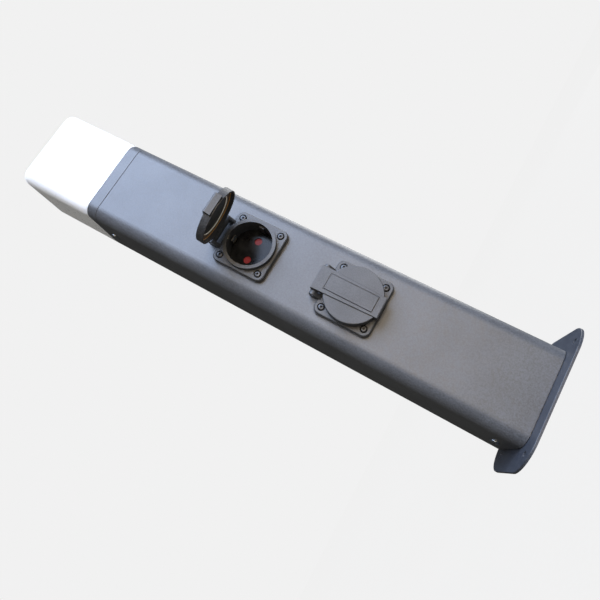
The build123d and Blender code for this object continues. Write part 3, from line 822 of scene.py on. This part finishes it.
class POST_OT_flange_screws(bpy.types.Operator):
    """Makes the four screws of each outlet"""

    bl_idname = "post.flange_screws"
    bl_label = "Outlet Screws"

    def execute(self, context):
        s = context.scene.post_screw
        # steel, black zinc plated: a dark metal that still catches the light on its crown
        black = surface(
            "Steel_black_zinc_plated",
            s.black,
            lighter(s.black, 0.06),
            0.6 * MM,
            0.01 * MM,
            0.48,
            0.05,
            Metallic=1.0,
        )
        hollow = painted_shade_material(s)
        tree = screw_tree()
        for outlet in OUTLETS:
            node = f"{outlet}_flange_screws"
            low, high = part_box(node)
            seat_y = low.y + s.flange_height
            spots = [
                (x, seat_y, z)
                for x in (low.x + s.flange_radius, high.x - s.flange_radius)
                for z in (low.z + s.flange_radius, high.z - s.flange_radius)
            ]
            piece = grown(
                f"{outlet}_outlet_screws",
                tree,
                {
                    "Head Radius": s.flange_radius,
                    "Head Height": s.flange_height,
                    "Shank Radius": s.flange_shank,
                    "Shank Length": high.y - seat_y,
                    "Recess Radius": s.flange_radius * s.recess,
                    "Recess Depth": s.flange_height * s.recess_depth,
                    "Material": black,
                    "Hollow": hollow,
                },
                spots,
                [(0, -1, 0)] * len(spots),
            )
            stand_for(piece, "post", "dark_screw", node)
        return {"FINISHED"}


class POST_OT_side_screws(bpy.types.Operator):
    """Makes the side screws of the base and of the collar"""

    bl_idname = "post.side_screws"
    bl_label = "Side Screws"

    def execute(self, context):
        s = context.scene.post_screw
        # steel, bright zinc plated: light grey metal with a faint blue cast
        zinc = surface(
            "Steel_bright_zinc_plated",
            s.zinc,
            lighter(s.zinc, 0.1),
            0.8 * MM,
            0.01 * MM,
            0.42,
            0.05,
            Metallic=1.0,
        )
        hollow = painted_shade_material(s)
        tree = screw_tree()
        for end in ("base", "collar"):
            node = f"{end}_screws"
            low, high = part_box(node)
            radius = (high.z - low.z) / 2
            middle = (low + high) / 2
            spots = [(side * (high.x - s.side_height), middle.y, middle.z) for side in (-1, 1)]
            piece = grown(
                f"{end}_side_screws",
                tree,
                {
                    "Head Radius": radius,
                    "Head Height": s.side_height,
                    "Shank Radius": s.side_shank,
                    "Shank Length": s.side_reach,
                    "Recess Radius": radius * s.recess,
                    "Recess Depth": s.side_height * s.recess_depth,
                    "Material": zinc,
                    "Hollow": hollow,
                },
                spots,
                [(-1, 0, 0), (1, 0, 0)],
            )
            stand_for(piece, "post", "zinc_steel", node)
        return {"FINISHED"}


def lid_swing(outlet):
    """Hinge of an outlet's lid, and how far the lid stands open at rest, in radians.

    The lower limit of its hinge is where the lid is shut.
    """
    hinge = next(joint for joint in frame["joints"] if joint["name"] == f"{outlet}_lid_hinge")
    return Vector(hinge["pos_m"]), -math.radians(hinge["range_deg"][0])


class POST_OT_lid_seals(bpy.types.Operator):
    """Makes the seal in each lid"""

    bl_idname = "post.lid_seals"
    bl_label = "Lid Seals"

    def execute(self, context):
        s = context.scene.post_seal
        # silicone, moulded: slightly translucent amber, one seal drawn in three tones; the pale lip
        # and the golden bead are painted highlights, the web the seal's dark brown body
        lip, web, bead = (
            surface(name, tone, lighter(tone, 0.08), 0.8 * MM, 0.02 * MM, roughness, 0.05)
            for name, tone, roughness in (
                ("Silicone_lip_painted_highlight", s.lip, 0.25),
                ("Silicone_web_moulded", s.web, 0.4),
                ("Silicone_bead_painted_highlight", s.bead, 0.3),
            )
        )
        tree = seal_tree()
        low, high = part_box("lower_lid_seal")
        shut_middle = (low + high) / 2
        outer, thickness = (high.x - low.x) / 2, high.y - low.y
        shut_hinge = lid_swing("lower")[0]
        for outlet in OUTLETS:
            hinge, swing = lid_swing(outlet)
            # the shut ring's outer face, seen from the hinge, turned by the lid's angle
            middle = Vector((0, high.y, shut_middle.z)) - shut_hinge
            face = Matrix.Translation(middle) @ Matrix.Rotation(math.radians(90), 4, "X")
            place = Matrix.Translation(hinge) @ Matrix.Rotation(-swing, 4, "X") @ face
            piece = grown(
                f"{outlet}_lip_seal",
                tree,
                {
                    "Inner Radius": outer - seal_width(),
                    "Outer Radius": outer,
                    "Thickness": thickness,
                    "Web Thickness": thickness * s.web_share,
                    "Lip Radius": s.lip_radius,
                    "Bead Radius": s.bead_radius,
                    "Lip": lip,
                    "Web": web,
                    "Bead": bead,
                },
                place=place,
            )
            stand_for(piece, f"{outlet}_lid", "amber_seal", f"{outlet}_lid_seal")
        return {"FINISHED"}


def seal_width():
    """Width of a lid seal, from the points of its CAD node."""
    low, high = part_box("lower_lid_seal")
    middle = (low + high) / 2
    points = (vertex.co for vertex in NODES["lower_lid_seal"].data.vertices)
    return (high.x - low.x) / 2 - min(math.hypot(point.x, point.z - middle.z) for point in points)


class POST_OT_springs(bpy.types.Operator):
    """Makes the coil spring behind each shutter"""

    bl_idname = "post.springs"
    bl_label = "Shutter Springs"

    def execute(self, context):
        s = context.scene.post_metal
        # spring steel, drawn through a die: an even grey that shines along the wire
        wire = surface(
            "Spring_steel_drawn",
            s.spring,
            lighter(s.spring, 0.1),
            0.3 * MM,
            0.01 * MM,
            0.3,
            Metallic=1.0,
        )
        tree = spring_tree()
        for outlet in OUTLETS:
            node = f"{outlet}_shutter_spring"
            low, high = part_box(node)
            middle = (low + high) / 2
            place = Matrix.Translation((middle.x, high.y - s.wire_radius, middle.z))
            piece = grown(
                f"{outlet}_coil_spring",
                tree,
                {
                    "Coil Radius": (high.x - low.x) / 2 - s.wire_radius,
                    "Wire Radius": s.wire_radius,
                    "Turns": s.turns,
                    "Length": high.y - low.y - 2 * s.wire_radius,
                    "Material": wire,
                },
                place=place @ Matrix.Rotation(math.radians(90), 4, "X"),
            )
            stand_for(piece, "post", "spring_steel", node)
        return {"FINISHED"}


class POST_OT_metal(bpy.types.Operator):
    """Finishes plated steel and brass inside the post"""

    bl_idname = "post.metal"
    bl_label = "Inner Metal"

    def execute(self, context):
        s = context.scene.post_metal
        zinc, nickel, brass = (
            surface(name, tone, lighter(tone, 0.1), grain * MM, 0.01 * MM, roughness, Metallic=1.0)
            for name, tone, grain, roughness in (
                # zinc-plated steel, pressed: cool grey, with broad, soft reflections
                ("Steel_zinc_plated_pressed", s.zinc, 3.0, 0.34),
                # nickel on spring brass: warm white, nearly a mirror
                ("Spring_brass_nickel_plated", s.nickel, 1.0, 0.18),
                # brass, turned: yellow, with bright edges round each bore
                ("Brass_turned", s.brass, 1.0, 0.25),
            )
        )
        finish(zinc, "base_spigot", "earth_stud", "terminal_rail", "rail_screws")
        finish(zinc, "led_board_screws", "terminal_screws")
        finish(zinc, *each("carrier_screws", "hinge_pin"))
        finish(nickel, *each("earth_clip"))
        finish(brass, *each("contacts"))
        return {"FINISHED"}


class POST_OT_trim(bpy.types.Operator):
    """Finishes rubber, foam and wiring"""

    bl_idname = "post.trim"
    bl_label = "Trim"

    def execute(self, context):
        s = context.scene.post_trim
        rubber, foam, sheath, terminal, driver = (
            surface(name, tone, lighter(tone, 0.06), grain * MM, depth * MM, roughness, 0.05)
            for name, tone, grain, depth, roughness in (
                # rubber, moulded: a soft black with hardly any shine
                ("Rubber_EPDM_moulded", s.rubber, 0.7, 0.02, 0.62),
                # foam, cut from a block: open cells that take all the shine away
                ("Foam_polyurethane_cut", s.foam, 0.8, 0.15, 0.9),
                # PVC, extruded: a smooth black with a dull shine along the lead
                ("PVC_sheath_extruded", s.sheath, 1.0, 0.02, 0.5),
                # polyamide, moulded: an even light grey
                ("Polyamide_grey_moulded", s.terminal, 1.0, 0.02, 0.42),
                # ABS, moulded: off-white with a slight gloss
                ("ABS_shell_moulded", s.driver, 1.0, 0.02, 0.4),
            )
        )
        finish(rubber, "cable_grommet", "diffuser_gasket", *each("flange_gasket"))
        finish(foam, "driver_pad")
        finish(sheath, "supply_lead", "socket_link_lead", "lamp_lead", "led_lead")
        finish(terminal, "terminal_block")
        finish(driver, "led_driver")
        return {"FINISHED"}


def add_panel(name, place_and_size, watts, tone):
    """A soft studio light that faces the post."""
    at, size = place_and_size
    light = bpy.data.lights.new(name, "AREA")
    light.shape, light.size, light.size_y = "RECTANGLE", *size
    light.energy, light.color = watts, tone[:3]
    panel = bpy.data.objects.new(name, light)
    panel.location = at
    panel.rotation_mode = "QUATERNION"
    panel.rotation_quaternion = (Vector(AIM) - Vector(at)).to_track_quat("-Z", "Y")
    bpy.context.scene.collection.objects.link(panel)


def lay_floor(s):
    """A pale card under the post, lit evenly from behind, so that the opal head stands out."""
    # matt card, pressed: no shine at all
    card = surface(
        "Card_matt_pressed",
        s.floor,
        lighter(s.floor, 0.005),
        3 * MM,
        0.0,
        0.9,
        0.05,
        **{"Specular IOR Level": 0.0, "Emission Color": s.glow_tone, "Emission Strength": s.glow},
    )
    corners = [
        (x * FLOOR_REACH, y * FLOOR_REACH, 0) for x, y in ((-1, -1), (1, -1), (1, 1), (-1, 1))
    ]
    mesh = bpy.data.meshes.new("studio_floor")
    mesh.from_pydata(corners, [], [(0, 1, 2, 3)])
    mesh.materials.append(card)
    floor = bpy.data.objects.new("studio_floor", mesh)
    bpy.context.scene.collection.objects.link(floor)
    # its own light doesn't reach the post
    floor.visible_diffuse = floor.visible_glossy = False


def light_room(s):
    """The world: a pale backdrop, a dimmer room light on the post and a faint one in its gloss."""
    world = bpy.data.worlds.new("studio")
    world.use_nodes = True
    tree = world.node_tree
    tree.nodes.clear()
    seen, around, dim = (
        add(tree, "ShaderNodeBackground", {"Color": tone, "Strength": light})
        for tone, light in (
            (s.glow_tone, s.backdrop),
            (s.room, s.room_light),
            (s.room, s.room_shine),
        )
    )
    ray = add(tree, "ShaderNodeLightPath").outputs
    shine = add(tree, "ShaderNodeMixShader", {0: ray["Is Glossy Ray"], 1: around, 2: dim})
    mix = add(tree, "ShaderNodeMixShader", {0: ray["Is Camera Ray"], 1: shine, 2: seen})
    add(tree, "ShaderNodeOutputWorld", {"Surface": mix})
    bpy.context.scene.world = world


def set_camera(s):
    """The camera, low beside the post and lying on its side."""
    camera = bpy.data.cameras.new("camera")
    camera.lens, camera.sensor_width = s.lens, SENSOR_MM
    camera.clip_start, camera.clip_end = NEAR, FAR
    eye = bpy.data.objects.new("camera", camera)
    bpy.context.scene.collection.objects.link(eye)
    right, down = Vector(EYE_RIGHT).normalized(), Vector(EYE_DOWN).normalized()
    ahead = right.cross(down)
    rotation = Matrix((right, -down, -ahead)).transposed()
    eye.matrix_world = Matrix.Translation(EYE) @ rotation.to_4x4()
    bpy.context.scene.camera = eye


class POST_OT_stage(bpy.types.Operator):
    """Lays the floor and sets the studio light and the camera"""

    bl_idname = "post.stage"
    bl_label = "Stage"

    def execute(self, context):
        s = context.scene.post_stage
        lay_floor(s)
        add_panel("high_panel", HIGH_PANEL, s.high_power, s.cool)
        add_panel("front_panel", FRONT_PANEL, s.front_power, s.warm)
        add_panel("side_panel", SIDE_PANEL, s.side_power, s.plain)
        light_room(s)
        set_camera(s)
        context.scene.view_settings.view_transform = "Standard"
        return {"FINISHED"}


class POST_PT_panel(bpy.types.Panel):
    """Lists the steps that finish the charging post"""

    bl_idname = "POST_PT_panel"
    bl_label = "Charging Post"
    bl_space_type = "VIEW_3D"
    bl_region_type = "UI"
    bl_category = "Charging Post"

    def draw(self, context):
        for operator in OPERATORS:
            self.layout.operator(operator.bl_idname)


SETTINGS = {
    "post_coat": CoatSettings,
    "post_socket": SocketSettings,
    "post_seal": SealSettings,
    "post_lamp": LampSettings,
    "post_screw": ScrewSettings,
    "post_metal": MetalSettings,
    "post_trim": TrimSettings,
    "post_stage": StageSettings,
}
OPERATORS = (
    POST_OT_coat,
    POST_OT_lamp,
    POST_OT_chips,
    POST_OT_outlets,
    POST_OT_flange_screws,
    POST_OT_side_screws,
    POST_OT_lid_seals,
    POST_OT_springs,
    POST_OT_metal,
    POST_OT_trim,
    POST_OT_stage,
)


def register():
    for cls in (*SETTINGS.values(), *OPERATORS, POST_PT_panel):
        bpy.utils.register_class(cls)
    for name, cls in SETTINGS.items():
        setattr(bpy.types.Scene, name, PointerProperty(type=cls))


def unregister():
    for name in SETTINGS:
        delattr(bpy.types.Scene, name)
    for cls in reversed((*SETTINGS.values(), *OPERATORS, POST_PT_panel)):
        bpy.utils.unregister_class(cls)


def main():
    register()
    for operator in OPERATORS:
        group, name = operator.bl_idname.split(".")
        getattr(getattr(bpy.ops, group), name)()


if __name__ == "__main__":
    main()
